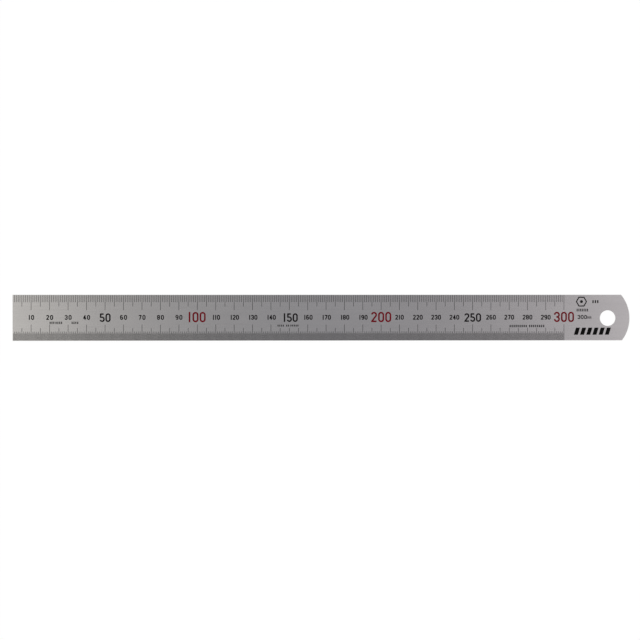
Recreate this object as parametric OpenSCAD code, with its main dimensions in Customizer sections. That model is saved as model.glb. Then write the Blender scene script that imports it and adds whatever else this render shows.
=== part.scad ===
// Steel ruler: a flat stainless blade, round at one end, with a hanging hole and two engraved
// metric scales. Every mark and numeral is a shallow etched pocket in the blade, filled with a
// separate piece of baked enamel that stops just below the steel.
//
// Frame: x is the reading along the scale, from the square zero end. y = 0 is the middle of the
// width, with the whole-millimetre scale on +y and the half-millimetre scale on -y. z = 0 is the
// back face, and the graduated face looks up.

/* [Blade] */
// Length from the zero end to the tip of the round end
blade_length = 336; // [332:0.5:350]
// Width between the two graduated edges
blade_width = 25; // [25:0.5:32]
// Thickness of the sheet
blade_thickness = 1; // [0.5:0.1:2]
// Radius of the round end
end_radius = 20; // [17:0.5:30]
// Height of the middle of the round end and of its hole, from the middle of the width
end_offset = -0.3; // [-0.5:0.1:0.5]
// Small bevel along the long edges and round the end
edge_break = 0.15; // [0.05:0.05:0.2]

/* [Hanging hole] */
// Diameter of the hanging hole
hole_diameter = 8.5; // [5:0.5:10]
// Distance from the tip to the centre of the hole
hole_from_tip = 12; // [9:0.5:14]
// Small bevel at both mouths of the hole
hole_break = 0.1; // [0.05:0.05:0.15]

/* [Etching and enamel] */
// Depth of the etched pockets
etch_depth = 0.05; // [0.03:0.01:0.1]
// How far the enamel stops below the steel face
enamel_recess = 0.01; // [0.005:0.005:0.02]

/* [Graduations] */
// Length of both scales, in whole hundreds so that the last mark has a large numeral
scale_length = 300; // [100:100:300]
// Width of every graduation mark
line_width = 0.22; // [0.1:0.01:0.24]
// Length of the 1 mm marks of the upper scale
upper_1mm_length = 4; // [3:0.1:4.5]
// Length of the 5 mm marks of the upper scale
upper_5mm_length = 6.4; // [5:0.1:7]
// Length of the 10 mm marks of the upper scale
upper_10mm_length = 8.4; // [7.5:0.1:8.8]
// Length of the half-millimetre marks of the lower scale
lower_half_mm_length = 4; // [3:0.1:4.5]
// Length of the 1 mm marks of the lower scale
lower_1mm_length = 5; // [4.6:0.1:5.5]
// Length of the 5 mm marks of the lower scale
lower_5mm_length = 6.9; // [6:0.1:7]
// Length of the 10 mm marks of the lower scale
lower_10mm_length = 8.8; // [7.2:0.1:9]
// Length of the 10 mm marks that stop short below a row of small dashes
short_10mm_length = 7; // [6.5:0.1:7.2]

/* [Numerals] */
// Height of the small numerals at every tenth mark
tens_height = 2.65; // [2.4:0.05:2.8]
// Height of the medium numerals at 50, 150 and 250
fifties_height = 4.7; // [4:0.1:4.8]
// Height of the large red numerals at 100, 200 and 300
hundreds_height = 5.6; // [5:0.05:5.8]

/* [Hidden] */

$fn = 64;
steel = "silver";
black_enamel = [0.08, 0.08, 0.08];
red_enamel = [0.5, 0.02, 0.06];

half_width = blade_width / 2;
// The flat of the face ends here, where the bevel begins
flat_half_width = half_width - edge_break;
// A pocket runs past the edge by this much, so that its mouth is open
past_edge = 1;
pocket_floor = blade_thickness - etch_depth;
enamel_thickness = etch_depth - enamel_recess;
hole_x = blade_length - hole_from_tip;

// Numeral styles: digit width, stroke width, gap between digits, and the height of its centre
// above the middle of the blade. A numeral that starts with a 1 is moved along by lead.
tens = [1.67, 0.55, 0.45, 0.2];
tens_of_three_digits = [1.67, 0.55, 0.19, 0.2];
fifties = [2.8, 0.8, 0.39, 0.05];
hundreds = [3.26, 0.87, 0.62, 0.35];
tens_lead = 0.1;
tens_of_three_digits_lead = 0.28;
fifties_lead = 0.55;
hundreds_lead = -0.35;
// A 1 takes this share of a digit's width
narrow_share = 0.6;

// Groups of small plain dashes: x of the first, how many, their pitch, y of their middle, and
// their height
dash_groups = [
    [20, 3, 1, -2.75, 1.3],
    [23.2, 4, 1, -2.75, 1.3],
    [31.9, 4, 1, -2.75, 1.3],
    [143.6, 4, 0.95, -4.3, 1],
    [148.3, 2, 0.95, -4.3, 1],
    [150.6, 5, 0.95, -4.3, 1],
    [270.2, 9, 1.1, -4.6, 1.3],
    [280.9, 8, 1.1, -4.6, 1.3],
    [307, 7, 0.95, 4.1, 1.5],
    [315.6, 3, 1.3, 8.7, 1.6]
];
// A dash takes this share of its pitch
dash_share = 0.55;
// The 10 mm marks that would run into a row of dashes
short_marks = [150, 270, 280, 290];

// ---- Blade ----

// Cross-section of the blade over y and z, with its four bevelled corners
module bevelled_section() {
    low = edge_break;
    high = blade_thickness - edge_break;
    polygon([
        [-half_width, low], [-flat_half_width, 0], [flat_half_width, 0], [half_width, low],
        [half_width, high], [flat_half_width, blade_thickness],
        [-flat_half_width, blade_thickness], [-half_width, high]
    ]);
}

// Bar of the full length, square at both ends
module bevelled_bar() {
    rotate([90, 0, 90])
        linear_extrude(blade_length)
            bevelled_section();
}

// Round end: a bevelled disc, with everything on the zero side of its centre kept
module round_end_form() {
    rim = end_radius - edge_break;
    centre_x = blade_length - end_radius;
    translate([centre_x, end_offset, 0])
        rotate_extrude()
            polygon([
                [0, 0], [rim, 0], [end_radius, edge_break],
                [end_radius, blade_thickness - edge_break], [rim, blade_thickness],
                [0, blade_thickness]
            ]);
    translate([-past_edge, -blade_width, -past_edge])
        cube([centre_x + past_edge, 2 * blade_width, blade_thickness + 2 * past_edge]);
}

module hanging_hole() {
    radius = hole_diameter / 2;
    translate([hole_x, end_offset, 0]) {
        translate([0, 0, -past_edge])
            cylinder(r = radius, h = blade_thickness + 2 * past_edge);
        translate([0, 0, -hole_break])
            cylinder(r1 = radius + 2 * hole_break, r2 = radius, h = 2 * hole_break);
        translate([0, 0, blade_thickness - hole_break])
            cylinder(r1 = radius, r2 = radius + 2 * hole_break, h = 2 * hole_break);
    }
}

module blade() {
    color(steel)
        difference() {
            intersection() {
                bevelled_bar();
                round_end_form();
            }
            hanging_hole();
            pockets(half_width + past_edge);
        }
}

// Cuts a flat pocket of the given outline down from above the face
module pocket() {
    translate([0, 0, pocket_floor])
        linear_extrude(etch_depth + past_edge)
            children();
}

// Pockets of every marking, one family at a time. Those of the marks run out to outer.
module pockets(outer) {
    pocket() upper_1mm_outline(outer);
    pocket() upper_5mm_outline(outer);
    pocket() upper_10mm_outline(outer);
    pocket() lower_half_mm_outline(outer);
    pocket() lower_1mm_outline(outer);
    pocket() lower_5mm_outline(outer);
    pocket() lower_10mm_outline(outer);
    pocket() tens_outline();
    pocket() fifties_outline();
    pocket() hundreds_outline();
    pocket() size_legend_outline();
    pocket() hexagon_outline();
    pocket() slanted_bars_outline();
    pocket() small_print_dashes_outline();
}

// ---- Enamel ----

// Fills a flat pocket with enamel
module fill(tint) {
    color(tint)
        translate([0, 0, pocket_floor])
            linear_extrude(enamel_thickness)
                children();
}

// ---- Graduations ----

function multiples(step) = [for (i = [1 : scale_length / step]) i * step];
function ones() = [for (m = multiples(1)) if (m % 5 != 0) m];
function fives() = [for (m = multiples(5)) if (m % 10 != 0) m];
function half_ones() = [for (m = multiples(1)) m - 0.5];
function is_short(m) = len([for (s = short_marks) if (s == m) s]) > 0;

// Marks of one scale. side is 1 for the upper edge and -1 for the lower, reach is their length
// from the edge of the blade, and outer is the distance from the middle where they start
module marks(places, side, reach, outer) {
    inner = half_width - reach;
    for (m = places)
        translate([m - line_width / 2, side > 0 ? inner : -outer])
            square([line_width, outer - inner]);
}

module upper_1mm_outline(outer) marks(ones(), 1, upper_1mm_length, outer);
module upper_5mm_outline(outer) marks(fives(), 1, upper_5mm_length, outer);
module upper_10mm_outline(outer) marks(multiples(10), 1, upper_10mm_length, outer);
module lower_half_mm_outline(outer) marks(half_ones(), -1, lower_half_mm_length, outer);
module lower_1mm_outline(outer) marks(ones(), -1, lower_1mm_length, outer);
module lower_5mm_outline(outer) marks(fives(), -1, lower_5mm_length, outer);
module lower_10mm_outline(outer) {
    marks([for (m = multiples(10)) if (!is_short(m)) m], -1, lower_10mm_length, outer);
    marks([for (m = multiples(10)) if (is_short(m)) m], -1, short_10mm_length, outer);
}

// ---- Digits ----
// A digit is drawn with strokes of one width, pen. x and y are half its width and half its
// height, both measured to the middle of the strokes.

// Straight stroke from a to b with square ends
module bar(a, b, pen) {
    run = b - a;
    translate(a)
        rotate(atan2(run.y, run.x))
            translate([0, -pen / 2])
                square([norm(run), pen]);
}

// Outline with round ends, reaching x to each side and y up and down
module pill(x, y) {
    r = min(x, y);
    square([2 * (x > y ? x - r : x), 2 * (x > y ? y : y - r)], center = true);
    for (side = [-1, 1])
        translate(x > y ? [side * (x - r), 0] : [0, side * (y - r)])
            circle(r);
}

// Closed round stroke of half-width x and half-height y, centred cy up
module ring(x, y, cy, pen) {
    translate([0, cy])
        difference() {
            pill(x + pen / 2, y + pen / 2);
            pill(x - pen / 2, y - pen / 2);
        }
}

// Ring without the part of its left side between the heights low and high
module open_ring(x, y, cy, low, high, pen) {
    difference() {
        ring(x, y, cy, pen);
        translate([-2 * x - pen, low])
            square([2 * x + pen, high - low]);
    }
}

// Round stroke about c, anticlockwise from angle a1 to a2
module bend(c, r, a1, a2, pen) {
    steps = ceil((a2 - a1) / 60);
    reach = 2 * (r + pen);
    translate(c)
        intersection() {
            difference() {
                circle(r + pen / 2);
                circle(r - pen / 2);
            }
            polygon(concat([[0, 0]], [
                for (i = [0 : steps])
                    let (angle = a1 + (a2 - a1) * i / steps)
                        reach * [cos(angle), sin(angle)]
            ]));
        }
}

// Round corner where two bars meet
module joint(p, pen) {
    translate(p)
        circle(pen / 2);
}

module digit_0(x, y, pen) ring(x, y, 0, pen);

module digit_1(x, y, pen) bar([0, -y - pen / 2], [0, y + pen / 2], pen);

module digit_2(x, y, pen) {
    r = min(x, y / 2);
    c = [x - r, y - r];
    foot = [-x, -y];
    to_foot = foot - c;
    // Angle at which a line from the foot touches the right-hand bend
    touch = atan2(to_foot.y, to_foot.x) + acos(r / norm(to_foot));
    // The slanted bar is a little slimmer than the bend, and runs a little way into it
    slim = 0.97 * pen;
    run_in = 0.05 * pen * [-sin(touch), cos(touch)];
    bend(c, r, touch, 90, pen);
    bend([-c.x, c.y], r, 90, 170, pen);
    bar([-c.x - 0.01, y], [c.x + 0.01, y], pen);
    bar(foot, c + r * [cos(touch), sin(touch)] + run_in, slim);
    bar(foot, [x + pen / 4, -y], pen);
    joint(foot, pen);
}

module digit_3(x, y, pen) {
    difference() {
        digit_8(x, y, pen);
        translate([-2 * x - pen, -y / 2])
            square([1.75 * x + pen, y]);
    }
}

module digit_4(x, y, pen) {
    post = 0.4 * x;
    shelf = -0.42 * y;
    bar([post, -y - pen / 2], [post, y], pen);
    bar([-x, shelf], [x + pen / 2, shelf], pen);
    bar([-x, shelf], [post, y], pen);
    joint([-x, shelf], pen);
    joint([post, y], pen);
}

module digit_5(x, y, pen) {
    side = -0.8 * x;
    bowl = 0.56 * y;
    open_ring(x, bowl, bowl - y, -0.6 * y, -0.05 * y, pen);
    bar([side, -0.05 * y], [side, y], pen);
    bar([side, y], [0.85 * x, y], pen);
    joint([side, y], pen);
}

module digit_6(x, y, pen) {
    bowl = 0.56 * y;
    ring(x, bowl, bowl - y, pen);
    bar([-x, bowl - y], [-x, y - x], pen);
    bend([0, y - x], x, 35, 180, pen);
}

module digit_7(x, y, pen) {
    bar([-x - pen / 4, y], [x, y], pen);
    bar([-0.35 * x, -y - pen / 4], [x, y], pen);
    joint([x, y], pen);
}

module digit_8(x, y, pen)
    for (side = [-1, 1])
        ring(x, y / 2, side * y / 2, pen);

module digit_9(x, y, pen) rotate(180) digit_6(x, y, pen);

module digit(d, x, y, pen) {
    if (d == 0) digit_0(x, y, pen);
    if (d == 1) digit_1(x, y, pen);
    if (d == 2) digit_2(x, y, pen);
    if (d == 3) digit_3(x, y, pen);
    if (d == 4) digit_4(x, y, pen);
    if (d == 5) digit_5(x, y, pen);
    if (d == 6) digit_6(x, y, pen);
    if (d == 7) digit_7(x, y, pen);
    if (d == 8) digit_8(x, y, pen);
    if (d == 9) digit_9(x, y, pen);
}

// ---- Numerals ----

function digits_of(n) = n < 10 ? [n] : concat(digits_of(floor(n / 10)), [n % 10]);
function cell(d, width) = d == 1 ? narrow_share * width : width;
// Distance from the start of a numeral to the start of its digit i
function advance(digits, width, gap, i) =
    i == 0 ? 0 : advance(digits, width, gap, i - 1) + cell(digits[i - 1], width) + gap;

// Numeral n, centred on x = 0
module numeral(n, height, style) {
    width = style[0];
    pen = style[1];
    gap = style[2];
    digits = digits_of(n);
    total = advance(digits, width, gap, len(digits)) - gap;
    for (i = [0 : len(digits) - 1])
        translate([advance(digits, width, gap, i) + cell(digits[i], width) / 2 - total / 2, style[3]])
            digit(digits[i], (width - pen) / 2, (height - pen) / 2, pen);
}

function starts_with_one(n) = digits_of(n)[0] == 1;

// Numerals at the given marks of the scale
module numerals(places, height, style, lead) {
    for (n = places)
        translate([n + (starts_with_one(n) ? lead : 0), 0])
            numeral(n, height, style);
}

module tens_outline() {
    plain = [for (n = multiples(10)) if (n % 50 != 0) n];
    numerals([for (n = plain) if (n < 100) n], tens_height, tens, tens_lead);
    numerals([for (n = plain) if (n > 100) n], tens_height, tens_of_three_digits,
        tens_of_three_digits_lead);
}

module fifties_outline()
    numerals([for (n = multiples(50)) if (n % 100 != 0) n], fifties_height, fifties, fifties_lead);

module hundreds_outline() numerals(multiples(100), hundreds_height, hundreds, hundreds_lead);

// ---- Plain marks past the end of the scale ----

// Length of the scale in small numerals, and its unit
module size_legend_outline() {
    height = 2.25;
    style = [1.55, 0.45, 0.24, 0.3];
    letter = [0.42, 0.55];
    pen = 0.24;
    translate([310, 0])
        numeral(scale_length, height, style);
    for (x = [313.2, 314.45])
        translate([x, style[3] - 0.35])
            letter_m(letter.x, letter.y, pen);
}

// The letter m: three feet and two arches
module letter_m(x, y, pen) {
    r = x / 2;
    for (foot = [-x, 0, x])
        bar([foot, -y], [foot, y - r], pen);
    for (arch = [-r, r])
        bend([arch, y - r], r, 0, 180, pen);
}

// Hexagonal outline with a dot in the middle
module hexagon_outline() {
    outer = 3.1;
    line = 0.6;
    dot = 0.9;
    translate([309.6, 8.7]) {
        difference() {
            circle(outer, $fn = 6);
            circle(outer - line / cos(30), $fn = 6);
        }
        circle(dot, $fn = 6);
    }
}

// Row of equal slanted bars
module slanted_bars_outline() {
    count = 6;
    pitch = 3.4;
    thick = 2.2;
    rise = 3.9;
    lean = 1.2;
    for (i = [0 : count - 1])
        translate([305.4 + i * pitch, -9.4])
            polygon([[0, 0], [thick, 0], [thick + lean, rise], [lean, rise]]);
}

module small_print_dashes_outline()
    for (group = dash_groups) {
        pitch = group[2];
        height = group[4];
        for (i = [0 : group[1] - 1])
            translate([group[0] + i * pitch, group[3] - height / 2])
                square([dash_share * pitch, height]);
    }

// ---- Enamel nodes ----

module upper_1mm_marks() fill(black_enamel) upper_1mm_outline(flat_half_width);
module upper_5mm_marks() fill(black_enamel) upper_5mm_outline(flat_half_width);
module upper_10mm_marks() fill(black_enamel) upper_10mm_outline(flat_half_width);
module lower_half_mm_marks() fill(black_enamel) lower_half_mm_outline(flat_half_width);
module lower_1mm_marks() fill(black_enamel) lower_1mm_outline(flat_half_width);
module lower_5mm_marks() fill(black_enamel) lower_5mm_outline(flat_half_width);
module lower_10mm_marks() fill(black_enamel) lower_10mm_outline(flat_half_width);
module tens_numerals() fill(black_enamel) tens_outline();
module fifties_numerals() fill(black_enamel) fifties_outline();
module hundreds_numerals() fill(red_enamel) hundreds_outline();
module size_legend() fill(black_enamel) size_legend_outline();
module hexagon_mark() fill(black_enamel) hexagon_outline();
module slanted_bars() fill(black_enamel) slanted_bars_outline();
module small_print_dashes() fill(black_enamel) small_print_dashes_outline();

blade();
upper_1mm_marks();
upper_5mm_marks();
upper_10mm_marks();
lower_half_mm_marks();
lower_1mm_marks();
lower_5mm_marks();
lower_10mm_marks();
tens_numerals();
fifties_numerals();
hundreds_numerals();
size_legend();
hexagon_mark();
slanted_bars();
small_print_dashes();
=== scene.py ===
import math

import bmesh
import bpy
from mathutils import Euler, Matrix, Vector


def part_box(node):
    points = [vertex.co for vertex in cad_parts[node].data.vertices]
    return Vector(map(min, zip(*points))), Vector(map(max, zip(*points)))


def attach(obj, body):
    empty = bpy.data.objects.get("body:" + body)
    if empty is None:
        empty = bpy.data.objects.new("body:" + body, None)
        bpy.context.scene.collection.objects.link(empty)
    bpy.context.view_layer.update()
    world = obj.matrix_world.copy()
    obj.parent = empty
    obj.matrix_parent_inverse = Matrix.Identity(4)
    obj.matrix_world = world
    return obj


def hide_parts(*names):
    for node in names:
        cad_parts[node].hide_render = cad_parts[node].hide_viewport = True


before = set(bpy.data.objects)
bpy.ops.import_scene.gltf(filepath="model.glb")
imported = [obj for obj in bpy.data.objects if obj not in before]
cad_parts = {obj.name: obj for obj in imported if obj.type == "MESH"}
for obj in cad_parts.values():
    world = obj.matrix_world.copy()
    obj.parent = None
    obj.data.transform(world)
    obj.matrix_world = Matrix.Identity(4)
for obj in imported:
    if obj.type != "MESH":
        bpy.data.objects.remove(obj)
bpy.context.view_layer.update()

MM = 0.001

# The blade lies on its back, with its face up. x is the reading on its scale.
blade_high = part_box("blade")[1]
length = blade_high.x
half_width = blade_high.y
face_z = blade_high.z

# Shape of the blade that the frame's box doesn't give
edge_radius = 0.15 * MM
end_radius = 20 * MM
end_y = -0.3 * MM
hole_x = length - 12 * MM
hole_radius = 4.25 * MM
hole_round = 0.1 * MM
# Fineness of its curves
roll_steps = 8
end_steps = 160
hole_steps = 192
# Two faces that turn by more than this meet at a sharp edge
sharp_angle = math.radians(30)
# Cutters reach this far past the blade
cutter_reach = 0.5 * MM
# Lengths below this don't count
sliver = 0.001 * MM

# The studio is dimmest in the direction whose x is dim_x, and brightens away from it
dim_x = 0.0315
glow_low = 0.39
glow_gain = 102.0
glow_power = 3.2
glow_high = 1.15
# It brightens more slowly across the blade than along it
glow_shape = (1, 0.5, 0)
# It falls to this share at the horizon, from a direction whose z is full_glow_z
horizon_share = 0.3
full_glow_z = 0.85
# Its tints, from the zero end to the tail, and the x of the directions where they start and end
warm_light = (1.0, 0.965, 0.915)
neutral_light = (0.955, 0.945, 1.0)
pink_light = (1.0, 0.945, 0.965)
tint_start_x = -0.16
tint_end_x = 0.2
# Past the floor the camera sees this much light, which is white
backdrop_glow = 1.1
# The floor is paper that glows nearly white, a hair below the blade
paper_size = 6.0
paper_glow = 0.97
paper_colour = 0.04
paper_gap = 0.05 * MM

# The camera is a metre above the blade, a little nearer to its zero end than to its tip
camera_lens = 103.775
camera_place = (0.14041, -0.00125, face_z + 1.00402)
camera_lean = math.asin(0.026161)
camera_roll = math.radians(-0.03)


# ---- Materials ----

class Shading:
    """A node material, with short ways to add texture nodes to it."""

    def __init__(self, name):
        self.material = bpy.data.materials.new(name)
        self.material.use_nodes = True
        self.nodes = self.material.node_tree.nodes
        self.links = self.material.node_tree.links
        self.shader = self.nodes["Principled BSDF"]
        self.place = self.nodes.new("ShaderNodeTexCoord").outputs["Object"]

    def noise(self, scale, detail, roughness=0.5):
        """Noise whose features are 1/scale metres across, along x, y and z."""
        mapping = self.nodes.new("ShaderNodeMapping")
        mapping.inputs["Scale"].default_value = scale
        self.links.new(self.place, mapping.inputs["Vector"])
        noise = self.nodes.new("ShaderNodeTexNoise")
        noise.inputs["Scale"].default_value = 1.0
        noise.inputs["Detail"].default_value = detail
        noise.inputs["Roughness"].default_value = roughness
        self.links.new(mapping.outputs["Vector"], noise.inputs["Vector"])
        return noise.outputs["Fac"]

    def spread(self, value, low, high, start=0.3, end=0.7):
        """value from start to end becomes low to high."""
        ramp = self.nodes.new("ShaderNodeMapRange")
        ramp.inputs["From Min"].default_value = start
        ramp.inputs["From Max"].default_value = end
        ramp.inputs["To Min"].default_value = low
        ramp.inputs["To Max"].default_value = high
        self.links.new(value, ramp.inputs["Value"])
        return ramp.outputs["Result"]

    def math(self, operation, a, b):
        node = self.nodes.new("ShaderNodeMath")
        node.operation = operation
        for value, socket in ((a, node.inputs[0]), (b, node.inputs[1])):
            if isinstance(value, float):
                socket.default_value = value
            else:
                self.links.new(value, socket)
        return node.outputs[0]

    def tint(self, value, dark, light):
        """Colour from dark to light as value goes from 0 to 1."""
        mix = self.nodes.new("ShaderNodeMix")
        mix.data_type = "RGBA"
        mix.inputs["A"].default_value = (*dark, 1)
        mix.inputs["B"].default_value = (*light, 1)
        self.links.new(value, mix.inputs["Factor"])
        self.links.new(mix.outputs["Result"], self.shader.inputs["Base Color"])

    def rough(self, value):
        self.links.new(value, self.shader.inputs["Roughness"])

    def bump(self, height, depth):
        """Raises the surface by height times depth, depth in metres."""
        bump = self.nodes.new("ShaderNodeBump")
        bump.inputs["Strength"].default_value = 1.0
        bump.inputs["Distance"].default_value = depth
        self.links.new(height, bump.inputs["Height"])
        self.links.new(bump.outputs["Normal"], self.shader.inputs["Normal"])


def steel_material():
    """Satin rolled stainless: fine hairlines and softer streaks along the blade, and a faint mottle."""
    look = Shading("satin_stainless")
    look.shader.inputs["Metallic"].default_value = 1.0
    hairlines = look.noise((60, 9000, 9000), 3.0, 0.6)
    streaks = look.noise((14, 900, 900), 2.0)
    mottle = look.noise((45, 60, 60), 4.0, 0.55)
    soft = look.math("ADD", look.spread(streaks, 0.0, 0.3), look.spread(mottle, 0.0, 0.2))
    shade = look.math("ADD", soft, look.spread(hairlines, 0.0, 0.5))
    look.tint(shade, (0.565, 0.563, 0.561), (0.635, 0.633, 0.631))
    look.rough(look.math("ADD", look.spread(hairlines, 0.125, 0.165), look.spread(mottle, 0.0, 0.008)))
    look.bump(hairlines, 0.0006 * MM)
    return look.material


def enamel_material(name, dark, light):
    """Baked enamel in the etched marks: nearly matt, with a slightly uneven fill."""
    look = Shading(name)
    look.shader.inputs["Specular IOR Level"].default_value = 0.05
    grain = look.noise((2500, 2500, 2500), 3.0)
    cloud = look.noise((300, 300, 300), 2.0)
    look.tint(look.spread(cloud, 0.0, 1.0), dark, light)
    look.rough(look.spread(grain, 0.4, 0.55))
    look.bump(grain, 0.004 * MM)
    return look.material


def dress(node, material):
    node.data.materials.clear()
    node.data.materials.append(material)


# ---- Blade ----

def outline(inset):
    """Corners of the blade's outline, drawn in by inset except at the zero end, anticlockwise."""
    radius = end_radius - inset
    side = half_width - inset
    centre_x = length - end_radius
    start = math.asin((-side - end_y) / radius)
    stop = math.asin((side - end_y) / radius)
    points = [(0.0, -side)]
    for i in range(end_steps + 1):
        angle = start + (stop - start) * i / end_steps
        points.append((centre_x + radius * math.cos(angle), end_y + radius * math.sin(angle)))
    points.append((0.0, side))
    return points


def quarter_turn(radius):
    """A rounded edge as (distance in from the side, distance from the face), from the face on."""
    turns = [math.pi / 2 * i / roll_steps for i in range(roll_steps + 1)]
    return [(radius * (1 - math.sin(a)), radius * (1 - math.cos(a))) for a in turns]


def skin(bm, loops, smooth_between):
    """Faces between neighbouring loops of vertices, smooth where smooth_between says so."""
    for low, high in zip(loops, loops[1:]):
        count = len(low)
        for i in range(count):
            j = (i + 1) % count
            face = bm.faces.new((low[i], low[j], high[j], high[i]))
            face.smooth = smooth_between(i, count)


def blank_mesh():
    """The blade before it is etched and punched: rolled edges, and a square zero end."""
    bm = bmesh.new()
    low = [(inset, z) for inset, z in quarter_turn(edge_radius)]
    high = [(inset, face_z - z) for inset, z in reversed(low)]
    loops = [[bm.verts.new((x, y, z)) for x, y in outline(inset)] for inset, z in low + high]
    # The last side of every loop is the flat zero end
    skin(bm, loops, lambda i, count: i < count - 1)
    bm.faces.new(list(reversed(loops[0])))
    bm.faces.new(loops[-1])
    mesh = bpy.data.meshes.new("etched_blade")
    bm.to_mesh(mesh)
    bm.free()
    return mesh


def add_hole_cutter(bm):
    """What the hanging hole's punch takes out, with its rounded mouths."""
    profile = [(hole_radius + hole_round, -cutter_reach)]
    profile += [(hole_radius + inset, z) for inset, z in quarter_turn(hole_round)]
    profile += [(r, face_z - z) for r, z in reversed(profile)]
    turns = [2 * math.pi * i / hole_steps for i in range(hole_steps)]
    loops = [
        [bm.verts.new((hole_x + r * math.cos(a), end_y + r * math.sin(a), z)) for a in turns]
        for r, z in profile
    ]
    skin(bm, loops, lambda i, count: True)
    bm.faces.new(list(reversed(loops[0])))
    bm.faces.new(loops[-1])


def add_pocket_cutters(bm):
    """The outlines of the enamel as prisms, from the pocket floors up through the face."""
    for name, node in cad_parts.items():
        if name == "blade":
            continue
        pocket_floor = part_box(name)[0].z
        part = bmesh.new()
        part.from_mesh(node.data)
        bmesh.ops.remove_doubles(part, verts=part.verts[:], dist=sliver / 2)
        sides = [face for face in part.faces if face.normal.z < 0.5]
        bmesh.ops.delete(part, geom=sides, context="FACES")
        for vert in part.verts:
            vert.co.z = face_z + cutter_reach
            if abs(vert.co.y) > half_width - edge_radius - sliver:
                vert.co.y = math.copysign(half_width + cutter_reach, vert.co.y)
        lower = bmesh.ops.extrude_face_region(part, geom=part.faces[:], use_keep_orig=True)
        for item in lower["geom"]:
            if isinstance(item, bmesh.types.BMVert):
                item.co.z = pocket_floor
        bmesh.ops.recalc_face_normals(part, faces=part.faces[:])
        prisms = bpy.data.meshes.new("prisms")
        part.to_mesh(prisms)
        part.free()
        bm.from_mesh(prisms)
        bpy.data.meshes.remove(prisms)


def etched_blade():
    """The blade as a new piece: smoother curves than the frame's, and the same pockets."""
    bm = bmesh.new()
    add_hole_cutter(bm)
    hole_faces = len(bm.faces)
    add_pocket_cutters(bm)
    bm.faces.ensure_lookup_table()
    for face in bm.faces[hole_faces:]:
        face.smooth = False
    cutter_mesh = bpy.data.meshes.new("cutter")
    bm.to_mesh(cutter_mesh)
    bm.free()
    cutter = bpy.data.objects.new("cutter", cutter_mesh)
    blade = bpy.data.objects.new("etched_blade", blank_mesh())
    for obj in (cutter, blade):
        bpy.context.scene.collection.objects.link(obj)
    cut = blade.modifiers.new("etching", "BOOLEAN")
    cut.operation = "DIFFERENCE"
    cut.solver = "MANIFOLD"
    cut.object = cutter
    shown = blade.evaluated_get(bpy.context.evaluated_depsgraph_get())
    mesh = bpy.data.meshes.new_from_object(shown)
    rounded = [face.use_smooth for face in mesh.polygons]
    mesh.set_sharp_from_angle(angle=sharp_angle)
    mesh.polygons.foreach_set("use_smooth", rounded)
    blade.modifiers.clear()
    blade.data = mesh
    bpy.data.objects.remove(cutter)
    return blade


steel = steel_material()
black = enamel_material("black_baked_enamel", (0.0015, 0.0015, 0.0015), (0.003, 0.003, 0.003))
red = enamel_material("red_baked_enamel", (0.12, 0.0003, 0.004), (0.15, 0.0005, 0.006))

for name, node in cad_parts.items():
    if name == "blade":
        dress(node, steel)
    elif name == "hundreds_numerals":
        dress(node, red)
    else:
        dress(node, black)

blade = etched_blade()
dress(blade, steel)
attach(blade, "root")
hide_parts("blade")


# ---- Stage ----

def floor():
    """A sheet of white paper, lit from behind as on a light table."""
    half = paper_size / 2
    mesh = bpy.data.meshes.new("floor")
    corners = [(-half, -half, 0), (half, -half, 0), (half, half, 0), (-half, half, 0)]
    mesh.from_pydata(corners, [], [(0, 1, 2, 3)])
    obj = bpy.data.objects.new("floor", mesh)
    bpy.context.scene.collection.objects.link(obj)
    obj.location = (length / 2, 0, -paper_gap)
    look = Shading("white_paper")
    look.shader.inputs["Base Color"].default_value = (paper_colour, paper_colour, paper_colour, 1)
    look.shader.inputs["Roughness"].default_value = 1.0
    look.shader.inputs["Specular IOR Level"].default_value = 0.0
    look.shader.inputs["Emission Color"].default_value = (1, 1, 1, 1)
    look.shader.inputs["Emission Strength"].default_value = paper_glow
    mesh.materials.append(look.material)


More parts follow.
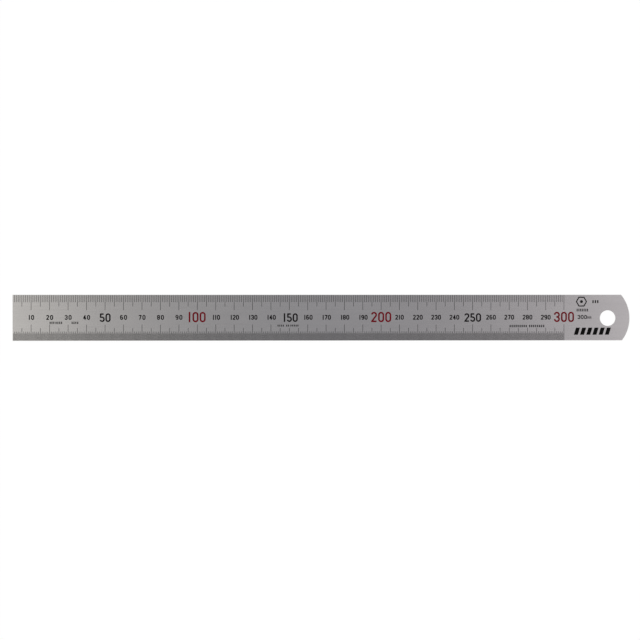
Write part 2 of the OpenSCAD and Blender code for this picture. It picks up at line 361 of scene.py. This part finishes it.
def studio():
    """Soft light from all round, dim straight above and near the horizon."""
    world = bpy.data.worlds.new("studio")
    world.use_nodes = True
    nodes, links = world.node_tree.nodes, world.node_tree.links

    def vector(operation, a, b):
        node = nodes.new("ShaderNodeVectorMath")
        node.operation = operation
        links.new(a, node.inputs[0])
        node.inputs[1].default_value = b
        return node.outputs

    def scalar(operation, a, b):
        node = nodes.new("ShaderNodeMath")
        node.operation = operation
        links.new(a, node.inputs[0])
        if isinstance(b, float):
            node.inputs[1].default_value = b
        else:
            links.new(b, node.inputs[1])
        return node.outputs[0]

    direction = nodes.new("ShaderNodeTexCoord").outputs["Generated"]
    aside = vector("SUBTRACT", direction, (dim_x, 0, 0))["Vector"]
    aside = vector("MULTIPLY", aside, glow_shape)["Vector"]
    aside = vector("LENGTH", aside, (0, 0, 0))["Value"]
    glow = scalar("POWER", aside, glow_power)
    glow = scalar("MULTIPLY", glow, glow_gain)
    glow = scalar("ADD", glow, glow_low)
    glow = scalar("MINIMUM", glow, glow_high)
    up = nodes.new("ShaderNodeSeparateXYZ")
    links.new(direction, up.inputs[0])
    horizon = nodes.new("ShaderNodeMapRange")
    horizon.interpolation_type = "SMOOTHSTEP"
    links.new(up.outputs["Z"], horizon.inputs["Value"])
    horizon.inputs["From Min"].default_value = 0.0
    horizon.inputs["From Max"].default_value = full_glow_z
    horizon.inputs["To Min"].default_value = horizon_share
    horizon.inputs["To Max"].default_value = 1.0
    glow = scalar("MULTIPLY", glow, horizon.outputs["Result"])
    seen = scalar("MULTIPLY", nodes.new("ShaderNodeLightPath").outputs["Is Camera Ray"], backdrop_glow)
    glow = scalar("MAXIMUM", glow, seen)
    place = nodes.new("ShaderNodeMapRange")
    links.new(up.outputs["X"], place.inputs["Value"])
    place.inputs["From Min"].default_value = tint_start_x
    place.inputs["From Max"].default_value = tint_end_x
    tints = nodes.new("ShaderNodeValToRGB")
    links.new(place.outputs["Result"], tints.inputs["Fac"])
    tints.color_ramp.elements.new(0.5)
    for stop, colour in zip(tints.color_ramp.elements, (warm_light, neutral_light, pink_light)):
        stop.color = (*colour, 1)
    background = nodes["Background"]
    links.new(tints.outputs["Color"], background.inputs["Color"])
    links.new(glow, background.inputs["Strength"])
    bpy.context.scene.world = world


floor()
studio()
bpy.context.scene.view_settings.view_transform = "Standard"


# ---- Camera ----

def camera():
    """Looks almost straight down on the face, leaning a little along x."""
    data = bpy.data.cameras.new("camera")
    data.sensor_width = 36
    data.lens = camera_lens
    data.clip_start = 0.01
    data.clip_end = 20
    obj = bpy.data.objects.new("camera", data)
    bpy.context.scene.collection.objects.link(obj)
    obj.location = camera_place
    obj.rotation_euler = Euler((0, -camera_lean, camera_roll))
    bpy.context.scene.camera = obj


camera()
